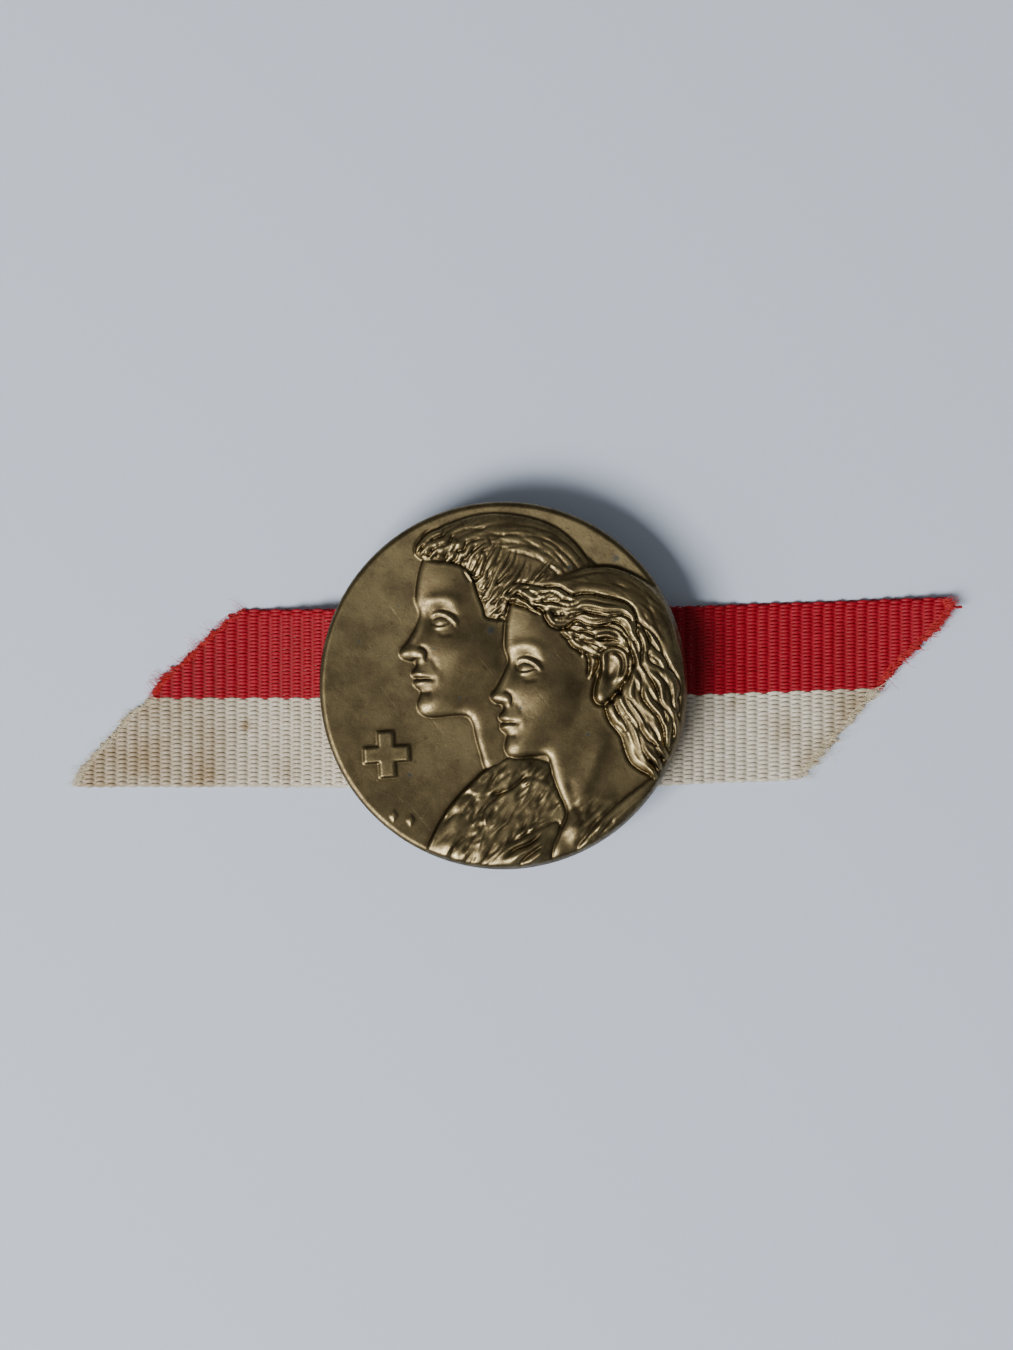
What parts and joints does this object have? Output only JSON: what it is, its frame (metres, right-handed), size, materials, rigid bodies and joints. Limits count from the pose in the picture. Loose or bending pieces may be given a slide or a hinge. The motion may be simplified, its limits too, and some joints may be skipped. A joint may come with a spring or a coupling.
{
  "type": "ribbon badge",
  "caption": "Round struck-brass badge with two busts in relief over a straight slant-cut two-colour grosgrain ribbon, with a hinged pin and safety catch on its back.",
  "frame": {"origin": "under the middle of the badge and its ribbon, on the surface that the badge lies on face up", "axes": "+X along the ribbon, to the right as the face is read; +Y up the face; +Z out of the face"},
  "size_m": [0.0634, 0.026, 0.0053],
  "materials": {
    "struck_brass": "aged satin",
    "back_brass": "dull rolled sheet",
    "fitting_brass": "tumbled",
    "pin_steel": "drawn wire",
    "ribbon_weave": "ribbed weave, red above and white below"
  },
  "bodies": {
    "badge": {"medallion_shell": "struck_brass", "back_plate": "back_brass", "ribbon": "ribbon_weave", "ribbon_strap_left": "back_brass", "ribbon_strap_right": "back_brass", "hinge_bracket": "fitting_brass", "hinge_rivet": "fitting_brass", "catch_base": "fitting_brass"},
    "needle": {"pin_needle": "pin_steel"},
    "roller": {"catch_roller": "fitting_brass"}
  },
  "joints": [
    {"name": "pin_swing", "type": "hinge", "parent": "badge", "child": "needle", "pos_m": [-0.0072, 0.008, 0.00135], "axis": [0, 1, 0], "range_deg": [0, 100]},
    {"name": "catch_turn", "type": "hinge", "parent": "badge", "child": "roller", "pos_m": [0.0055, 0.008, 0.00135], "axis": [1, 0, 0], "range_deg": [0, 110]}
  ]
}
